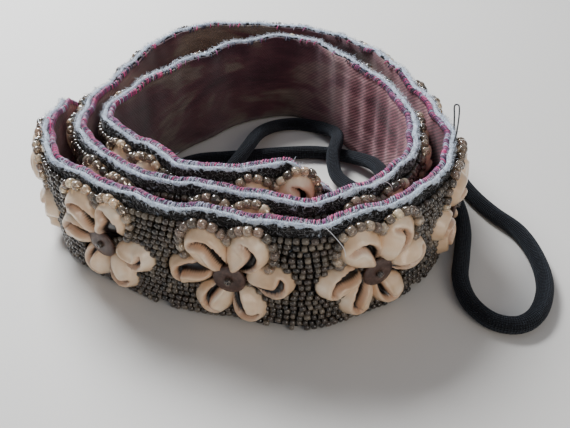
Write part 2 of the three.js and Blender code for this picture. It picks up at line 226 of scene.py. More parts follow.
KNIT_STITCHES = 12
CORD_SIDES = 16
cord_look, tree, shader = new_look("knitted_cord", 0.85, Sheen_Weight=0.10, Sheen_Roughness=0.4,
                                   Specular_IOR_Level=0.2)
shader.inputs["Sheen Tint"].default_value = (0.62, 0.72, 0.88, 1)
place = node(tree, "ShaderNodeUVMap", uv_map="round")
split = node(tree, "ShaderNodeSeparateXYZ", [(place.outputs["UV"], 0)])
waves = []
for slant in ("ADD", "SUBTRACT"):
    slanted = reckon(tree, slant, split.outputs["X"], split.outputs["Y"])
    turns = reckon(tree, "MULTIPLY", slanted, 2 * math.pi * KNIT_STITCHES)
    waves.append(reckon(tree, "SINE", turns))
knit = reckon(tree, "MULTIPLY", *waves)
where = node(tree, "ShaderNodeTexCoord")
lint = node(tree, "ShaderNodeTexNoise", [(where.outputs["Object"], "Vector")], Scale=2600, Detail=4)
colour = ramp(tree, lint.outputs["Fac"], [
    (0.35, (0.003, 0.003, 0.004)), (0.6, (0.008, 0.009, 0.012)), (0.76, (0.05, 0.062, 0.08))])
tree.links.new(colour.outputs["Color"], shader.inputs["Base Color"])
height = reckon(tree, "ADD", knit, lint.outputs["Fac"])
bump(tree, shader, height, 0.8, 0.00035)

CORDS = [("inner_cord", INNER_CORD, "inner_cord_loop"), ("outer_cord", OUTER_CORD, "outer_cord_loop")]
for name, stops, cad in CORDS:
    points = smooth_route(stops, 6)
    form = bmesh.new()
    uv = form.loops.layers.uv.new("round")
    rings = tube(form, points, [CORD_DIAMETER / 2] * len(points), CORD_SIDES)
    along = [0.0]
    for a, b in zip(points, points[1:]):
        along.append(along[-1] + (b - a).length)
    at = {}
    for step, ring in enumerate(rings):
        for corner, vert in enumerate(ring):
            at[vert] = (along[step] / (math.pi * CORD_DIAMETER), corner / CORD_SIDES)
    for face in form.faces:
        turns = [at[vert][1] for vert in face.verts]
        wraps = max(turns) - min(turns) > 0.5
        for loop in face.loops:
            u, v = at[loop.vert]
            loop[uv].uv = (u, v + 1 if wraps and v < 0.5 else v)
    piece = finished(name, form, cord_look, [cad])

# Felt strap: dark wool felt, cut 40 mm wide and wound into the coil on its edge. Its cut top edge is fuzzy
# and painted pale blue-white, partly its pale fuzz and partly a painted highlight, and both its ends narrow
# to the cords.
BELT_WIDTH = 40.0
COIL_REACH = 75
COIL_MIDDLE = (0.73, -1.1)
COIL = [
    (55, 0.668), (68, 0.612), (90, 0.603), (108, 0.643), (128, 0.608), (146, 0.629), (165, 0.692),
    (184, 0.632), (202, 0.589), (222, 0.579), (240, 0.597), (256, 0.681), (270, 0.753), (286, 0.815),
    (303, 0.748), (322, 0.684), (342, 0.691), (360, 0.727), (380, 0.796), (400, 0.864), (420, 0.88),
    (434, 0.88), (448, 0.784), (464, 0.748), (482, 0.776), (500, 0.781), (518, 0.808), (536, 0.784),
    (554, 0.749), (572, 0.787), (590, 0.904), (610, 1.024), (630, 0.984), (650, 0.96), (670, 0.903),
    (690, 0.857), (708, 0.829), (726, 0.877), (744, 0.973), (764, 1.021), (784, 1.009), (796, 1.008),
    (812, 0.915), (830, 0.904), (848, 0.904), (866, 0.957), (884, 0.947), (900, 0.904), (911, 0.875),
]
headings = np.array([row[0] for row in COIL], float)
reaches = np.array([row[1] for row in COIL])
slopes = np.empty(len(COIL))
slopes[1:-1] = (reaches[2:] - reaches[:-2]) / (headings[2:] - headings[:-2])
slopes[0] = (reaches[1] - reaches[0]) / (headings[1] - headings[0])
slopes[-1] = (reaches[-1] - reaches[-2]) / (headings[-1] - headings[-2])
fine = np.arange(headings[0], headings[-1] + 0.01, 0.5)
row = np.clip(np.searchsorted(headings, fine, side="left") - 1, 0, len(COIL) - 2)
span = headings[row + 1] - headings[row]
t = (fine - headings[row]) / span
u = 1 - t
reach = u * u * (1 + 2 * t) * reaches[row] + t * t * (3 - 2 * t) * reaches[row + 1]
reach = COIL_REACH * (reach + t * u * span * (u * slopes[row] - t * slopes[row + 1]))
LINE_X = COIL_MIDDLE[0] + reach * np.cos(np.radians(-fine))
LINE_Y = COIL_MIDDLE[1] + reach * np.sin(np.radians(-fine))
ALONG = np.concatenate([[0], np.cumsum(np.hypot(np.diff(LINE_X), np.diff(LINE_Y)))])
BELT_LENGTH = ALONG[-1]
COURSE = 3.0


def middle_line(along):
    """The coil's middle line in mm at a distance along the belt, and the way out of the coil there."""
    x = np.interp(along, ALONG, LINE_X)
    y = np.interp(along, ALONG, LINE_Y)
    ahead = np.clip(along + COURSE, 0, BELT_LENGTH)
    behind = np.clip(along - COURSE, 0, BELT_LENGTH)
    dx = np.interp(ahead, ALONG, LINE_X) - np.interp(behind, ALONG, LINE_X)
    dy = np.interp(ahead, ALONG, LINE_Y) - np.interp(behind, ALONG, LINE_Y)
    size = np.hypot(dx, dy)
    return x, y, -dy / size, dx / size


def on_belt(along, out, height):
    """A point in metres from its place along the belt, out of its middle line and above the floor, in mm."""
    x, y, nx, ny = middle_line(along)
    return Vector((x + nx * out, y + ny * out, height)) * 0.001


FLOWERS = 21
DRAWN_LENGTH = 920.35
FIRST, WIDE, LAST = 0.0212 * DRAWN_LENGTH, 0.0543 * DRAWN_LENGTH, 0.0375 * DRAWN_LENGTH
PITCH = (BELT_LENGTH - FIRST - LAST - 2 * WIDE) / (FLOWERS - 3)
FLOWER_AT = [FIRST + min(index, 2) * WIDE + max(index - 2, 0) * PITCH for index in range(FLOWERS)]
MIDDLE = 0.47 * BELT_WIDTH
SHELL = 0.346 * PITCH
END_TAPER, END_WIDTH = 14.0, 13.0
EDGE_DIP = 0.7
WALL_STEP = 1.5


def strap_edges(along, inset=0.0):
    """Foot and top of the strap in mm: narrow at its tips, and dipping a little beside each flower."""
    tip = min(along, BELT_LENGTH - along)
    half = (END_WIDTH + (BELT_WIDTH - END_WIDTH) * min(tip / END_TAPER, 1)) / 2 - inset
    dip = EDGE_DIP * (0.5 - 0.5 * math.cos(4 * math.pi * (along - FIRST) / PITCH))
    return BELT_WIDTH / 2 - half, BELT_WIDTH / 2 + half - dip


def edge_sway(along, share=1.0):
    """The top edge wanders a little to either side between the stitches."""
    wander = 0.38 * math.sin(along / 3.7) + 0.22 * math.sin(along / 1.6 + 1.0)
    return share ** 4 * wander * min(along / 20, 1)


def strap_wall(form, uv, section, inset, wander=None):
    """A wall along the whole belt. section gives (out in mm, share of the height, mm above that) round it."""
    count = int(BELT_LENGTH / WALL_STEP)
    stops = [inset + (BELT_LENGTH - 2 * inset) * index / count for index in range(count + 1)]
    rings = []
    at = {}
    for along in stops:
        foot, top = strap_edges(along, inset)
        x, y, nx, ny = middle_line(along)
        ring = []
        for out, share, extra in section:
            height = foot + (top - foot) * share + extra
            shift = (wander(along, share) if wander else 0.0) + edge_sway(along, share)
            away = out + shift
            vert = form.verts.new(((x + nx * away) / 1000, (y + ny * away) / 1000, height / 1000))
            at[vert] = (along / 1000, height / 1000)
            ring.append(vert)
        rings.append(ring)
    for one, two in zip(rings, rings[1:]):
        for corner in range(len(section)):
            after = (corner + 1) % len(section)
            form.faces.new((one[corner], one[after], two[after], two[corner]))
    form.faces.new(rings[0][::-1])
    form.faces.new(rings[-1])
    for face in form.faces:
        for loop in face.loops:
            loop[uv].uv = at[loop.vert]
    bmesh.ops.recalc_face_normals(form, faces=form.faces)


def blend(tree, share, one, two, how="MIX"):
    made = node(tree, "ShaderNodeMix", data_type="RGBA", blend_type=how)
    for socket, term in ((0, share), (6, one), (7, two)):
        feed(tree, made.inputs[socket], term)
    return made.outputs[2]


felt_look, tree, shader = new_look("wool_felt", 0.95, Sheen_Weight=0.05, Sheen_Roughness=0.5,
                                   Specular_IOR_Level=0.12)
where = node(tree, "ShaderNodeTexCoord")
fibre = node(tree, "ShaderNodeTexNoise", [(where.outputs["Object"], "Vector")], Scale=1500, Detail=5,
             Roughness=0.7)
patch = node(tree, "ShaderNodeTexNoise", [(where.outputs["Object"], "Vector")], Scale=420, Detail=4)
pale_fuzz_and_highlight = node(tree, "ShaderNodeVertexColor", layer_name="pale_fuzz_and_highlight")
# Painted highlight: the pale, bluish-white colour of the cut top edge stands partly for its pale fuzz and
# partly for the window light falling on it.
dark = ramp(tree, fibre.outputs["Fac"], [
    (0.35, (0.006, 0.0055, 0.006)), (0.55, (0.024, 0.022, 0.022)), (0.72, (0.14, 0.13, 0.13))])
pale = ramp(tree, fibre.outputs["Fac"], [
    (0.25, (0.20, 0.25, 0.36)), (0.48, (0.60, 0.69, 0.83)), (0.68, (0.92, 0.96, 1.0))])
ragged_fuzz_and_highlight = reckon(tree, "MULTIPLY_ADD", patch.outputs["Fac"], 2.6, pale_fuzz_and_highlight.outputs["Color"])
amount = node(tree, "ShaderNodeMapRange", [(ragged_fuzz_and_highlight, "Value")], From_Min=1.66, From_Max=1.92)
felted = blend(tree, amount.outputs[0], dark.outputs["Color"], pale.outputs["Color"])
tree.links.new(felted, shader.inputs["Base Color"])
bump(tree, shader, fibre.outputs["Fac"], 1.0, 0.0006)

form = bmesh.new()
uv = form.loops.layers.uv.new("belt")
felt_section = [
    (-1.0, 0, 0.5), (-0.55, 0, 0.0), (0.55, 0, 0.0), (1.0, 0, 0.5), (1.0, 0.33, 0), (1.0, 0.66, 0),
    (1.0, 1, -2.6), (0.97, 1, -1.5), (0.88, 1, -0.75), (0.6, 1, -0.25), (0.2, 1, 0.0), (-0.3, 1, -0.1),
    (-0.8, 1, -0.6), (-1.0, 1, -2.0), (-1.0, 0.66, 0), (-1.0, 0.33, 0),
]
strap_wall(form, uv, felt_section, 0.0)
# Share of the pale top colour, the painted highlight with the fuzz: it covers the top 1.35 mm of the strap.
pale_fuzz_and_highlight_layer = form.loops.layers.float_color.new("pale_fuzz_and_highlight")
for face in form.faces:
    for loop in face.loops:
        along, height = loop[uv].uv
        foot, top = strap_edges(along * 1000)
        share = max(0.0, min(1.0, (height * 1000 - top + 1.35) / 1.3))
        loop[pale_fuzz_and_highlight_layer] = (share, share, share, 1)
finished("felt_strap", form, felt_look, ["felt_band"])

# Fuzz of the felt: loose wool fibres that stand up along the top edge, painted pale where the light is on
# them.
FUZZ_STRANDS = 13000
PALE_WOOL = [(0.6, 0.67, 0.78), (0.85, 0.90, 0.97), (0.85, 0.90, 0.97), (0.35, 0.4, 0.48), (0.05, 0.05, 0.06)]
DARK_WOOL = [(0.02, 0.02, 0.022), (0.05, 0.05, 0.055), (0.22, 0.22, 0.23)]


def tinted(tree, shader):
    tint = node(tree, "ShaderNodeVertexColor", layer_name="tint")
    tree.links.new(tint.outputs["Color"], shader.inputs["Base Color"])


def paint(form, layer, colour, start):
    """Gives one colour to the faces from number start on."""
    form.faces.ensure_lookup_table()
    for face in form.faces[start:]:
        for loop in face.loops:
            loop[layer] = (*colour, 1)


def within(along):
    return min(max(along, 0), BELT_LENGTH)


fuzz_look, tree, shader = new_look("wool_fibre", 0.9, Sheen_Weight=0.6)
tinted(tree, shader)
rng = random.Random(4)
form = bmesh.new()
tint = form.loops.layers.float_color.new("tint")
for strand in range(FUZZ_STRANDS):
    along = rng.uniform(2, BELT_LENGTH - 2)
    foot, top = strap_edges(along)
    out = rng.uniform(-0.9, 1.15) + edge_sway(along)
    lean = rng.gauss(0, 0.5)
    reach_up = rng.uniform(0.3, 1.2)
    root = on_belt(along, out, top - 0.25)
    bend = on_belt(within(along + lean * 0.5), out + rng.gauss(0, 0.25), top + reach_up * 0.45)
    tip = on_belt(within(along + lean * 1.6), out + rng.gauss(0, 0.8), top + reach_up * rng.uniform(0.2, 1))
    # Painted highlight: fibres along the top edge get pale, lit wool colours; those lower on the outer face
    # keep the felt's dark colour.
    shade = rng.choice(PALE_WOOL)
    if strand % 2:
        low = rng.uniform(0.2, 4.2)
        sway = edge_sway(along) * max(0.0, 1 - low / 6)
        root = on_belt(along, 1.02 + sway, top - low)
        bend = on_belt(within(along + lean), 1.35 + sway, top - low + rng.gauss(0, 0.3))
        tip = on_belt(within(along + 2 * lean), 1.5 + sway, top - low + rng.gauss(0, 0.6))
        if low > rng.uniform(0.4, 1.5):
            shade = rng.choice(DARK_WOOL)
    start = len(form.faces)
    tube(form, [root, bend, tip], [0.00006, 0.00005, 0.00002], 3, close=False)
    paint(form, tint, shade, start)
finished("felt_fuzz", form, fuzz_look)

# Lining: a strip of hand-woven cotton, warp-dyed in maroon, dusty pink and brown, sewn inside the felt. Along
# the belt it is painted darker where it lies in shade and rosier where lit, with painted shade in its rib
# grooves. It has a fine slanting rib, one seam, and shallow pleats where the belt bends.
LINING_MARGIN = 0.9
RIB_PITCH, RIB_RISE, WEFT_PITCH = 0.0019, 0.0014, 0.0007
GATHER_AT, GATHER_SPREAD = 252, 34
SEAM_AT, SEAM_SPREAD = 203, 0.9
FACE_ROWS = 14
lining_look, tree, shader = new_look("woven_cotton", 0.8, Sheen_Weight=0.25, Specular_IOR_Level=0.25)
place = node(tree, "ShaderNodeUVMap", uv_map="belt")
split = node(tree, "ShaderNodeSeparateXYZ", [(place.outputs["UV"], 0)])
stretch = node(tree, "ShaderNodeMapping", [(place.outputs["UV"], "Vector")], Scale=(1, 2.2, 1))
dye = node(tree, "ShaderNodeTexNoise", [(stretch.outputs["Vector"], "Vector")], Scale=26, Detail=3,
           Roughness=0.55, Distortion=0.6)
streak_map = node(tree, "ShaderNodeMapping", [(place.outputs["UV"], "Vector")], Scale=(0.25, 2.6, 1))
streak = node(tree, "ShaderNodeTexNoise", [(streak_map.outputs["Vector"], "Vector")], Scale=420, Detail=2)
# Shaded and lit copies of the same dyed cloth: the first ramp is painted shade, the second the cloth in
# light.
shadowy = ramp(tree, dye.outputs["Fac"], [
    (0.30, (0.030, 0.008, 0.014)), (0.44, (0.055, 0.013, 0.024)), (0.52, (0.085, 0.026, 0.036)),
    (0.57, (0.12, 0.085, 0.070)), (0.64, (0.18, 0.14, 0.115)), (0.78, (0.08, 0.028, 0.036))])
rosy = ramp(tree, dye.outputs["Fac"], [
    (0.28, (0.10, 0.020, 0.030)), (0.40, (0.22, 0.055, 0.075)), (0.50, (0.40, 0.15, 0.17)),
    (0.58, (0.52, 0.25, 0.26)), (0.66, (0.36, 0.09, 0.13)), (0.80, (0.56, 0.07, 0.19))])
lit_share = node(tree, "ShaderNodeVertexColor", layer_name="lit_share")
colour = blend(tree, lit_share.outputs["Color"], shadowy.outputs["Color"], rosy.outputs["Color"])
rib_rise = reckon(tree, "MULTIPLY", split.outputs["Y"], 2 * math.pi / RIB_RISE)
slanting = reckon(tree, "MULTIPLY_ADD", split.outputs["X"], -2 * math.pi / RIB_PITCH, rib_rise)
rib = reckon(tree, "SINE", slanting)
cross = reckon(tree, "SINE", reckon(tree, "MULTIPLY", split.outputs["X"], 2 * math.pi / WEFT_PITCH))
weave = reckon(tree, "MULTIPLY_ADD", rib, cross, streak.outputs["Fac"])
# Painted shade in the rib: the colour darkens in the rib's grooves, more where the cloth is painted as lit.
depth = reckon(tree, "MULTIPLY_ADD", lit_share.outputs["Color"], 0.44, 0.07)
ribbed = reckon(tree, "MULTIPLY_ADD", rib, depth, 0.86)
streaked = reckon(tree, "MULTIPLY_ADD", streak.outputs["Fac"], 0.9, 0.45)
dyed_and_shaded = blend(tree, 1, colour, reckon(tree, "MULTIPLY", ribbed, streaked), "MULTIPLY")
tree.links.new(dyed_and_shaded, shader.inputs["Base Color"])
bump(tree, shader, weave, 0.6, 0.00022)


def pleats(along, share):
    swell = 0.22 * math.sin(along / 4.1) * math.sin(along / 23.0) + 0.10 * math.sin(along / 1.9 + 2 * share)
    gathered = math.exp(-((along - GATHER_AT) / GATHER_SPREAD) ** 2)
    swell += 0.72 * gathered * math.sin(along / 1.75 + 0.8 * share)
    seam = 0.35 * math.exp(-((along - SEAM_AT) / SEAM_SPREAD) ** 2)
    middle = math.sin(math.pi * min(max(share, 0), 1))
    return -0.3 + swell * (0.25 + 0.75 * middle) - seam


form = bmesh.new()
uv = form.loops.layers.uv.new("belt")
lining_section = [(-1.3, row / FACE_ROWS, 0) for row in range(FACE_ROWS + 1)]
lining_section += [(-2.15, 1 - row / FACE_ROWS, 0) for row in range(FACE_ROWS + 1)]
lining_section[FACE_ROWS] = (-1.45, 1, 0.15)
lining_section[FACE_ROWS + 1] = (-2.0, 1, 0.15)
strap_wall(form, uv, lining_section, LINING_MARGIN, pleats)
# Painted light along the belt, in mm: near 0 the cloth gets the shaded colours, near 1 the lit rosy ones.
LIT_ALONG = [
    (0, 0.7), (40, 0.4), (90, 0.05), (198, 0.05), (206, 0.25), (228, 0.45), (244, 0.95), (300, 1),
    (340, 0.6), (480, 0.4), (520, 0.05), (630, 0.05), (655, 0.6), (700, 1), (760, 0.6), (860, 0.3),
    (900, 0.8), (921, 1),
]
lit_places, lit_shares = zip(*LIT_ALONG)
lit_layer = form.loops.layers.float_color.new("lit_share")
for face in form.faces:
    for loop in face.loops:
        share = float(np.interp(loop[uv].uv[0] * 1000, lit_places, lit_shares))
        loop[lit_layer] = (share, share, share, 1)
lining = finished("cotton_strip", form, lining_look, ["cotton_lining"])

# Edge stitching: overcast loops of pink, magenta and navy thread that bind the lining to the felt along the
# top edge. They lie close together at the front of the coil and thin out round its back.
thread_look, tree, shader = new_look("embroidery_thread", 0.55, Sheen_Weight=0.3)
tinted(tree, shader)
where = node(tree, "ShaderNodeTexCoord")
ply = node(tree, "ShaderNodeTexNoise", [(where.outputs["Object"], "Vector")], Scale=4200, Detail=2)
bump(tree, shader, ply.outputs["Fac"], 0.6, 0.0002)
PINK, ROSE, LILAC, NAVY = (0.78, 0.06, 0.26), (0.42, 0.08, 0.26), (0.66, 0.62, 0.80), (0.012, 0.012, 0.05)
rng = random.Random(11)
form = bmesh.new()
tint = form.loops.layers.float_color.new("tint")
along = 1.5
count = 0
while along < BELT_LENGTH - 1.5:
    foot, top = strap_edges(along)
    vivid = 0.5 + 0.5 * math.sin(along / 31.0 + 1.0) * math.sin(along / 11.0)
    count += 1
    hidden = min(max((middle_line(along)[1] - 2) / 30, 0), 1)
    bright = PINK if rng.random() < 0.15 + 0.6 * vivid else ROSE
    if rng.random() < 0.30 - 0.25 * vivid:
        bright = LILAC
    if rng.random() < 0.88 * hidden:
        along += 0.4
        continue
    paler = rng.uniform(0.55, 1.1)
    bright = [c * paler for c in bright]
    shade = NAVY if count % 2 else bright
    slant = rng.uniform(0.5, 1.0)
    lift = rng.uniform(0.0, 0.3) - 0.05 * (count % 2)
    sway = edge_sway(along)
    loop_points = [
        on_belt(along, sway - 2.65, top - 1.5),
        on_belt(along + 0.3 * slant, sway - 2.65, top - 0.9),
        on_belt(along + 0.7 * slant, sway - 2.4, top - 0.3 + lift),
        on_belt(along + slant, sway - 1.9, top - 0.1 + lift),
        on_belt(along + 1.2 * slant, sway - 1.4, top - 0.3),
        on_belt(along + 1.3 * slant, sway - 0.9, top - 0.7),
    ]
    start = len(form.faces)
    thick = rng.uniform(0.00018, 0.00024 if count % 2 else 0.00025)
    tube(form, loop_points, [thick * 0.7, thick, thick, thick, thick, thick * 0.6], 5)
    paint(form, tint, shade, start)
    along += rng.uniform(0.34, 0.46)
finished("edge_stitching", form, thread_look)

# Cowries: each flower is six small cowrie shells with their backs cut off, sewn down mouth outwards round a
# centre. The mouth is a hooked slot with a toothed lip, widest near its middle.
TOOTH_PITCH = 0.7
shell_look, tree, shader = new_look("cowrie_shell", 0.28, Coat_Weight=0.4, Coat_Roughness=0.12,
                                    Subsurface_Weight=0.06)
shader.inputs["Subsurface Radius"].default_value = (0.003, 0.0018, 0.001)
place = node(tree, "ShaderNodeUVMap", uv_map="mouth")
split = node(tree, "ShaderNodeSeparateXYZ", [(place.outputs["UV"], 0)])
teeth = reckon(tree, "SINE", reckon(tree, "MULTIPLY", split.outputs["X"], 2 * math.pi / TOOTH_PITCH))
edge = reckon(tree, "MULTIPLY_ADD", teeth, 0.05, split.outputs["Y"])
# The slot is painted near-black: painted shade in the hollow of the mouth, over the dark felt within.
inside = node(tree, "ShaderNodeMapRange", [(edge, "Value")], From_Min=-0.30, From_Max=-0.02, To_Min=1,
              To_Max=0)
stain = node(tree, "ShaderNodeMapRange", [(edge, "Value")], From_Min=0.0, From_Max=1.1, To_Min=0.5,
             To_Max=0)
where = node(tree, "ShaderNodeTexCoord")
cloud = node(tree, "ShaderNodeTexNoise", [(where.outputs["Object"], "Vector")], Scale=130, Detail=3)
grain = node(tree, "ShaderNodeTexNoise", [(where.outputs["Object"], "Vector")], Scale=900, Detail=3)
body = ramp(tree, cloud.outputs["Fac"], [
    (0.3, (0.66, 0.43, 0.25)), (0.5, (0.82, 0.60, 0.40)), (0.7, (0.90, 0.75, 0.58))])
lip = blend(tree, stain.outputs["Result"], body.outputs["Color"], (0.42, 0.20, 0.13, 1))
mouth = blend(tree, inside.outputs["Result"], lip, (0.006, 0.004, 0.004, 1))
tree.links.new(mouth, shader.inputs["Base Color"])
bump(tree, shader, grain.outputs["Fac"], 0.12, 0.0002)

DRAWN_SHELL = 14.7
UPPER_OUT, UPPER_SIZE, UPPER_HEIGHT = 1.05, 1.13, 1.12
PETALS = [(0, 0.811), (60, 0.73), (120, 0.73), (180, 0.811), (240, 0.73), (300, 0.73)]
SLOT_LINE = [
    (6.7, 0.9, 0.45), (5.2, 1.5, 0.85), (2.8, 2.0, 1.15), (0.3, 2.1, 1.1), (-1.8, 1.6, 0.85),
    (-3.0, 0.3, 0.6), (-3.4, -1.4, 0.42), (-3.1, -2.8, 0.2),
]
SHELL_RINGS = (0.1, 0.19, 0.28, 0.37, 0.46, 0.55, 0.64, 0.73, 0.81, 0.88, 0.94, 0.98, 1.0)
SHELL_SPOKES = 40


def slot_at(x, y, wide):
    """How far along the shell's mouth a point is, and how far outside the mouth, in mm."""
    best = (1e9, 0.0)
    done = 0.0
    for (ax, ay, aw), (bx, by, bw) in zip(SLOT_LINE, SLOT_LINE[1:]):
        dx, dy = bx - ax, by - ay
        size = math.hypot(dx, dy)
        share = min(max(((x - ax) * dx + (y - ay) * dy) / size ** 2, 0), 1)
        off = math.hypot(x - ax - dx * share, y - ay - dy * share)
        gap = off - wide * (aw + (bw - aw) * share)
        if gap < best[0]:
            best = (gap, done + size * share)
        done += size
    return best[1], best[0]


blank_form = bmesh.new()
ray = [blank_form.verts.new((radius, 0, 1 - radius ** 2)) for radius in (0, *SHELL_RINGS)]
ray_edges = [blank_form.edges.new(pair) for pair in zip(ray, ray[1:])]
bmesh.ops.spin(blank_form, geom=ray + ray_edges, axis=(0, 0, 1), cent=(0, 0, 0), angle=2 * math.pi,
               steps=SHELL_SPOKES, use_merge=True)
bmesh.ops.remove_doubles(blank_form, verts=blank_form.verts, dist=1e-6)
bmesh.ops.holes_fill(blank_form, edges=[edge for edge in blank_form.edges if edge.is_boundary], sides=0)
bmesh.ops.recalc_face_normals(blank_form, faces=blank_form.faces)
blank = bpy.data.meshes.new("shell_blank")
blank_form.to_mesh(blank)
blank_form.free()


def shell(form, uv, place, long, broad, tall, wide):
    """One cut cowrie: x towards the flower's middle, y across, z out of the belt, in mm."""
    scale = long / DRAWN_SHELL
    first_vert, first_face = len(form.verts), len(form.faces)
    form.from_mesh(blank)
    form.verts.ensure_lookup_table()
    form.faces.ensure_lookup_table()
    at = {}
    for vert in form.verts[first_vert:]:
        ring = min(math.hypot(vert.co.x, vert.co.y), 1)
        towards = vert.co.x / ring if ring else 0
        x = vert.co.x * long / 2
        y = vert.co.y * broad / 2 * (1 - 0.20 * towards - 0.05 * towards ** 2)
        at[vert] = slot_at(x / scale, y / scale, wide)
        gap = at[vert][1]
        dome = tall * (1 - ring ** 2.8) ** 0.55
        rolled = 0.75 * math.exp(-((gap - 1.0) / 0.8) ** 2) * min(1, (1 - ring) * 5)
        sunk = 3.2 * (1 - min(max((gap + 0.5) / 0.7, 0), 1)) * min(1, dome / 2.5)
        lowest = -0.25 if ring > 0.999 else 0.1
        z = max(dome * (0.86 + 0.14 * math.cos(2.2 * y / broad)) + rolled - sunk, lowest)
        vert.co = place @ Vector((x, y, z)) * 0.001
    for face in form.faces[first_face:]:
        for loop in face.loops:
            loop[uv].uv = at[loop.vert]


def out_of_felt(along, span):
    """How far a flat foot has to stand off where the belt bends towards it, in mm."""
    x, y, nx, ny = middle_line(along)
    lift = 0.0
    for side in (-1, -0.5, 0.5, 1):
        px, py, mx, my = middle_line(along + side * span)
        lift = max(lift, (px + mx - x - nx) * nx + (py + my - y - ny) * ny)
    return lift


rng = random.Random(23)
petal_spots = []
for index, centre in enumerate(FLOWER_AT):
    form = bmesh.new()
    uv = form.loops.layers.uv.new("mouth")
    for bearing, out in PETALS:
        bearing = math.radians(bearing + rng.uniform(-4, 4))
        upper = 40 < math.degrees(bearing) < 140
        out = out * SHELL * rng.uniform(0.98, 1.02) * (UPPER_OUT if upper else 1)
        along = centre + out * math.cos(bearing)
        height = MIDDLE + out * math.sin(bearing)
        x, y, nx, ny = middle_line(along)
        lift = 1.25 + out_of_felt(along, 0.45 * SHELL)
        way_along = Vector((ny, -nx, 0))
        way_out = Vector((nx, ny, 0))
        turned = bearing + math.radians(rng.uniform(-9, 9))
        inward = -math.cos(turned) * way_along - math.sin(turned) * Vector((0, 0, 1))
        across = way_out.cross(inward)
        nod = Matrix.Rotation(math.radians(rng.uniform(-7, 3)), 3, "Y")
        roll = Matrix.Rotation(math.radians(rng.uniform(-5, 5)), 3, "X")
        basis = Matrix((inward, across, way_out)).transposed() @ (nod @ roll)
        place = Matrix.Translation(Vector((x + nx * lift, y + ny * lift, height))) @ basis.to_4x4()
        long = SHELL * rng.uniform(0.94, 1.02) * (UPPER_SIZE if upper else 1)
        broad = 0.77 * SHELL * rng.uniform(0.92, 1.03) * (UPPER_SIZE if upper else 1)
        tall = rng.uniform(4.3, 5.0) * (UPPER_HEIGHT if upper else 1)
        petal_spots.append((along, height, turned, long, broad))
        wide = rng.choice((0.75, 0.9, 1.1, 1.4, 2.0)) * rng.uniform(0.9, 1.1)
        shell(form, uv, place, long, broad, tall, wide)
    finished(f"shell_flower_{index + 1:02d}", form, shell_look, [f"cowrie_flower_{index + 1:02d}"])

# Flower centres: a turned disc of dark coconut shell on the inner ends of the six cowries, held by a thread
# through one seed bead.
disc_look, tree, shader = new_look("coconut_shell", 0.45, Coat_Weight=0.15, Coat_Roughness=0.3)
where = node(tree, "ShaderNodeTexCoord")
speck = node(tree, "ShaderNodeTexNoise", [(where.outputs["Object"], "Vector")], Scale=700, Detail=4,
             Roughness=0.7)
colour = ramp(tree, speck.outputs["Fac"], [
    (0.3, (0.030, 0.014, 0.010)), (0.55, (0.075, 0.038, 0.028)), (0.75, (0.17, 0.10, 0.075))])
tree.links.new(colour.outputs["Color"], shader.inputs["Base Color"])
bump(tree, shader, speck.outputs["Fac"], 0.35, 0.0003)


def turned_form(profile, axis, steps):
    """A small form turned round an axis from a closed or pole-to-pole profile."""
    form = bmesh.new()
    stops = [form.verts.new(stop) for stop in profile]
    edges = [form.edges.new(pair) for pair in zip(stops, stops[1:])]
    bmesh.ops.spin(form, geom=stops + edges, axis=axis, cent=(0, 0, 0), angle=2 * math.pi, steps=steps,
                   use_merge=True)
    bmesh.ops.remove_doubles(form, verts=form.verts, dist=1e-5)
    bmesh.ops.recalc_face_normals(form, faces=form.faces)
    return form


def joined(name, small, places, look, nodes=(), shades=()):
    """One mesh with a copy of a small form, in mm, at each place, and a colour for each copy."""
    small.verts.index_update()
    spots = np.array([(*vert.co, 1) for vert in small.verts])
    faces = np.array([[vert.index for vert in face.verts] for face in small.faces if len(face.verts) == 4])
    ends = np.array([[vert.index for vert in face.verts] for face in small.faces if len(face.verts) == 3])
    small.free()
    turns = np.array([np.array(place) for place in places])
    points = np.einsum("nij,vj->nvi", turns, spots)[:, :, :3].reshape(-1, 3) * 0.001
    shifts = (np.arange(len(places)) * len(spots))[:, None, None]
    corners = []
    for kind in (faces, ends):
        if len(kind):
            corners += (shifts + kind[None]).reshape(-1, kind.shape[1]).tolist()
    mesh = bpy.data.meshes.new(name)
    mesh.from_pydata(points.tolist(), [], corners)
    if shades:
        tint = mesh.color_attributes.new("tint", "FLOAT_COLOR", "CORNER")
        values = np.array([(*shade, 1) for shade in shades], dtype=np.float32)
        tint.data.foreach_set("color", np.repeat(values, faces.size, axis=0).ravel())
    return put_in(name, mesh, look, nodes)


DISC_PROFILE = [
    (0, 0), (4.4, 0.0), (4.95, 0.35), (5.0, 0.9), (4.6, 1.3), (3.0, 1.5), (1.3, 1.52), (0.85, 1.3),
    (0.7, 0.6), (0, 0.6),
]
disc_places = []
disc_tops = []
for centre in FLOWER_AT:
    x, y, nx, ny = middle_line(centre)
    seat = 3.35 + out_of_felt(centre, 0.6 * SHELL) * 0.5
    middle = Vector((x + nx * seat, y + ny * seat, MIDDLE))
    facing = Vector((nx, ny, 0)).to_track_quat("Z", "Y").to_matrix().to_4x4()
    disc_places.append(Matrix.Translation(middle) @ facing)
    disc_tops.append((middle + Vector((nx, ny, 0)) * 1.9, Vector((nx, ny, 0))))
disc = turned_form([(radius, 0, height) for radius, height in DISC_PROFILE], (0, 0, 1), 24)
disc_nodes = [f"coconut_disc_{index + 1:02d}" for index in range(FLOWERS)]
joined("coconut_discs", disc, disc_places, disc_look, disc_nodes)

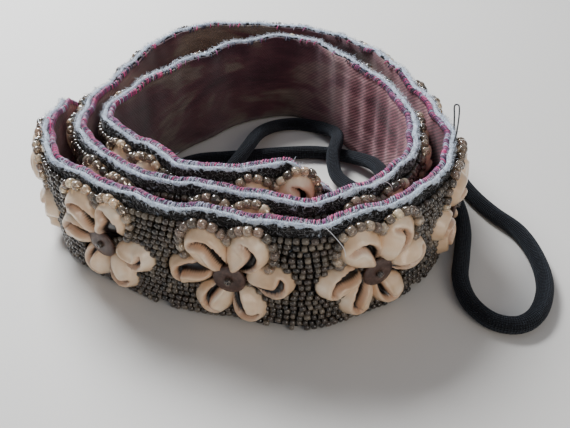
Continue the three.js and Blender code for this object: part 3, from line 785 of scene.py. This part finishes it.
# Seed beads: small smoky glass beads sewn in close rows over the felt, round and between the flowers. Larger
# and clearer ones arch over the upper two shells of each flower, and one sits on each disc.
bead_look, tree, shader = new_look("smoky_glass_bead", 0.1, Transmission_Weight=0.35, IOR=1.5,
                                   Coat_Weight=0.5, Coat_Roughness=0.05)
tinted(tree, shader)
BEAD_PROFILE = [(-0.5, 0.3), (-0.44, 0.84), (0.0, 1.0), (0.44, 0.84), (0.5, 0.3), (-0.5, 0.3)]


def bead_form(sides):
    """A glass bead as long and as thick across its half as 1 mm: a short round barrel with a hole along x."""
    return turned_form([(x, radius, 0) for x, radius in BEAD_PROFILE], (1, 0, 0), sides)


def bead_size(length, radius):
    return Matrix.Diagonal((length, radius, radius, 1))


def bead_place(along, out, height, slant, rng):
    x, y, nx, ny = middle_line(along)
    way = (Vector((ny, -nx, 0)) * math.cos(slant) + Vector((0, 0, 1)) * math.sin(slant)).normalized()
    face = Vector((nx, ny, 0))
    basis = Matrix((way, face.cross(way), face)).transposed()
    twist = Matrix.Rotation(rng.uniform(-0.2, 0.2), 3, "Z")
    nod = Matrix.Rotation(rng.uniform(-0.15, 0.15), 3, "Y")
    return Matrix.Translation(Vector((x + nx * out, y + ny * out, height))) @ (basis @ (twist @ nod)).to_4x4()


def under_shell(along, height):
    for spot_along, spot_height, turned, long, broad in petal_spots:
        dx = along - spot_along
        if abs(dx) > 9:
            continue
        dz = height - spot_height
        u = dx * math.cos(turned) + dz * math.sin(turned)
        v = -dx * math.sin(turned) + dz * math.cos(turned)
        if (u / (long / 2 - 0.2)) ** 2 + (v / (broad / 2 - 0.2)) ** 2 < 1:
            return True
    return False


GLASS = [
    (0.080, 0.062, 0.046), (0.120, 0.094, 0.070), (0.045, 0.036, 0.027), (0.21, 0.17, 0.125),
    (0.098, 0.071, 0.054),
]
rng = random.Random(7)
FOOT_ROW, ROW_PITCH, ROW_COUNT = 1.45, 2.1, 17
ROWS = [FOOT_ROW + ROW_PITCH * index for index in range(ROW_COUNT)]
halves = [("seed_beads_inner", 0, BELT_LENGTH / 2), ("seed_beads_outer", BELT_LENGTH / 2, BELT_LENGTH)]
for name, start, stop in halves:
    places = []
    shades = []
    for number, height in enumerate(ROWS):
        along = start + rng.uniform(0, 2)
        while along < stop - 1:
            long = rng.uniform(1.45, 2.15)
            spot_along = along + long / 2
            along += long + rng.uniform(0.05, 0.3)
            nearest = min(abs(spot_along - centre) for centre in FLOWER_AT)
            foot, top = strap_edges(spot_along)
            spot = height + 0.22 * math.sin(spot_along / 7.0 + number) + rng.gauss(0, 0.12)
            if spot < foot + 1.2 or spot > top - 3.4 or spot_along < 3 or spot_along > BELT_LENGTH - 3:
                continue
            if nearest < 4.0 and 9 < spot < 29 or under_shell(spot_along, spot):
                continue
            depth = rng.uniform(0.6, 1.25)
            shade = [c * depth for c in rng.choice(GLASS)]
            place = bead_place(spot_along, 2.05 + rng.uniform(-0.15, 0.25), spot, rng.gauss(0, 0.10), rng)
            places.append(place @ bead_size(long, rng.uniform(0.98, 1.14)))
            shades.append(shade)
    joined(name, bead_form(7), places, bead_look, ["bead_field"] if start == 0 else (), shades)

ARCH_PITCH = 2.75
ARCH_HALF = math.radians(100)
clear_look, tree, shader = new_look("clear_glass_bead", 0.05, Transmission_Weight=0.7, IOR=1.5,
                                    Coat_Weight=0.6, Coat_Roughness=0.03)
tinted(tree, shader)
places = []
shades = []
for index in range(FLOWERS):
    for spot_along, spot_height, turned, long, broad in petal_spots[6 * index + 1:6 * index + 3]:
        turn = -ARCH_HALF
        while turn < ARCH_HALF:
            rim = math.hypot((long / 2 + 1.0) * math.sin(turn), (broad / 2 + 1.2) * math.cos(turn))
            turn += ARCH_PITCH / rim
            u = (long / 2 + 1.0) * math.cos(turn)
            v = (broad / 2 + 1.2) * math.sin(turn)
            along = spot_along + u * math.cos(turned) - v * math.sin(turned)
            height = min(spot_height + u * math.sin(turned) + v * math.cos(turned), 38.4)
            if height < MIDDLE + 3 or under_shell(along, height):
                continue
            slant = turned + math.atan2((broad / 2) * math.cos(turn), -(long / 2) * math.sin(turn))
            depth = rng.uniform(3.0, 6.0)
            shade = [c * depth for c in rng.choice(GLASS)]
            place = bead_place(along, 3.1 + rng.uniform(-0.2, 0.5), height, slant, rng)
            radius = rng.uniform(1.42, 1.68)
            places.append(place @ bead_size(rng.uniform(2.4, 2.75), radius))
            shades.append(shade)
for middle, out in disc_tops:
    basis = Matrix((out, Vector((0, 0, 1)).cross(out), Vector((0, 0, 1)))).transposed().to_4x4()
    places.append(Matrix.Translation(middle) @ basis @ bead_size(1.7, 1.15))
    shades.append((0.14, 0.11, 0.09))
joined("arch_beads", bead_form(10), places, clear_look, shades=shades)

# Loose threads: five ends of white, black and pink sewing thread left long on the top edge, where the belt
# was sewn up. They stand up from the edge or hang down over it.
loose_look, tree, shader = new_look("loose_thread", 0.7)
tinted(tree, shader)
WHITE, BLACK = (0.75, 0.76, 0.78), (0.01, 0.01, 0.012)
LOOSE_THREADS = [
    (BLACK, 0.28, [(712, 0.0, 39.0), (708, 0.8, 41.0), (702, 2.2, 43.6), (697, 3.6, 44.8), (695, 3.0, 43.8),
                   (699, 1.8, 42.2), (704, 0.8, 39.6)]),
    (WHITE, 0.14, [(884, 0.4, 39.0), (888, 2.2, 40.5), (892, 3.4, 39.0), (893, 4.0, 36.6), (890, 4.2, 36.0)]),
    (WHITE, 0.10, [(775, 0.6, 39.4), (773, 3.2, 37.4), (771, 5.4, 34.0), (770.5, 6.0, 31.0)]),
    (WHITE, 0.10, [(334, 0.5, 39.4), (331, 1.8, 41.2), (328, 3.4, 39.2), (327, 4.2, 36.0)]),
    (PINK, 0.20, [(882, -1.4, 39.0), (884, -2.2, 41.4), (887, -1.6, 42.2), (889, -0.4, 41.0)]),
]
form = bmesh.new()
tint = form.loops.layers.float_color.new("tint")
for colour, thick, stops in LOOSE_THREADS:
    course = [on_belt(along, out, height) * 1000 for along, out, height in stops]
    points = smooth_route(course, 5)
    start = len(form.faces)
    tube(form, points, [thick / 1000] * len(points), 6)
    paint(form, tint, colour, start)
finished("loose_threads", form, loose_look)
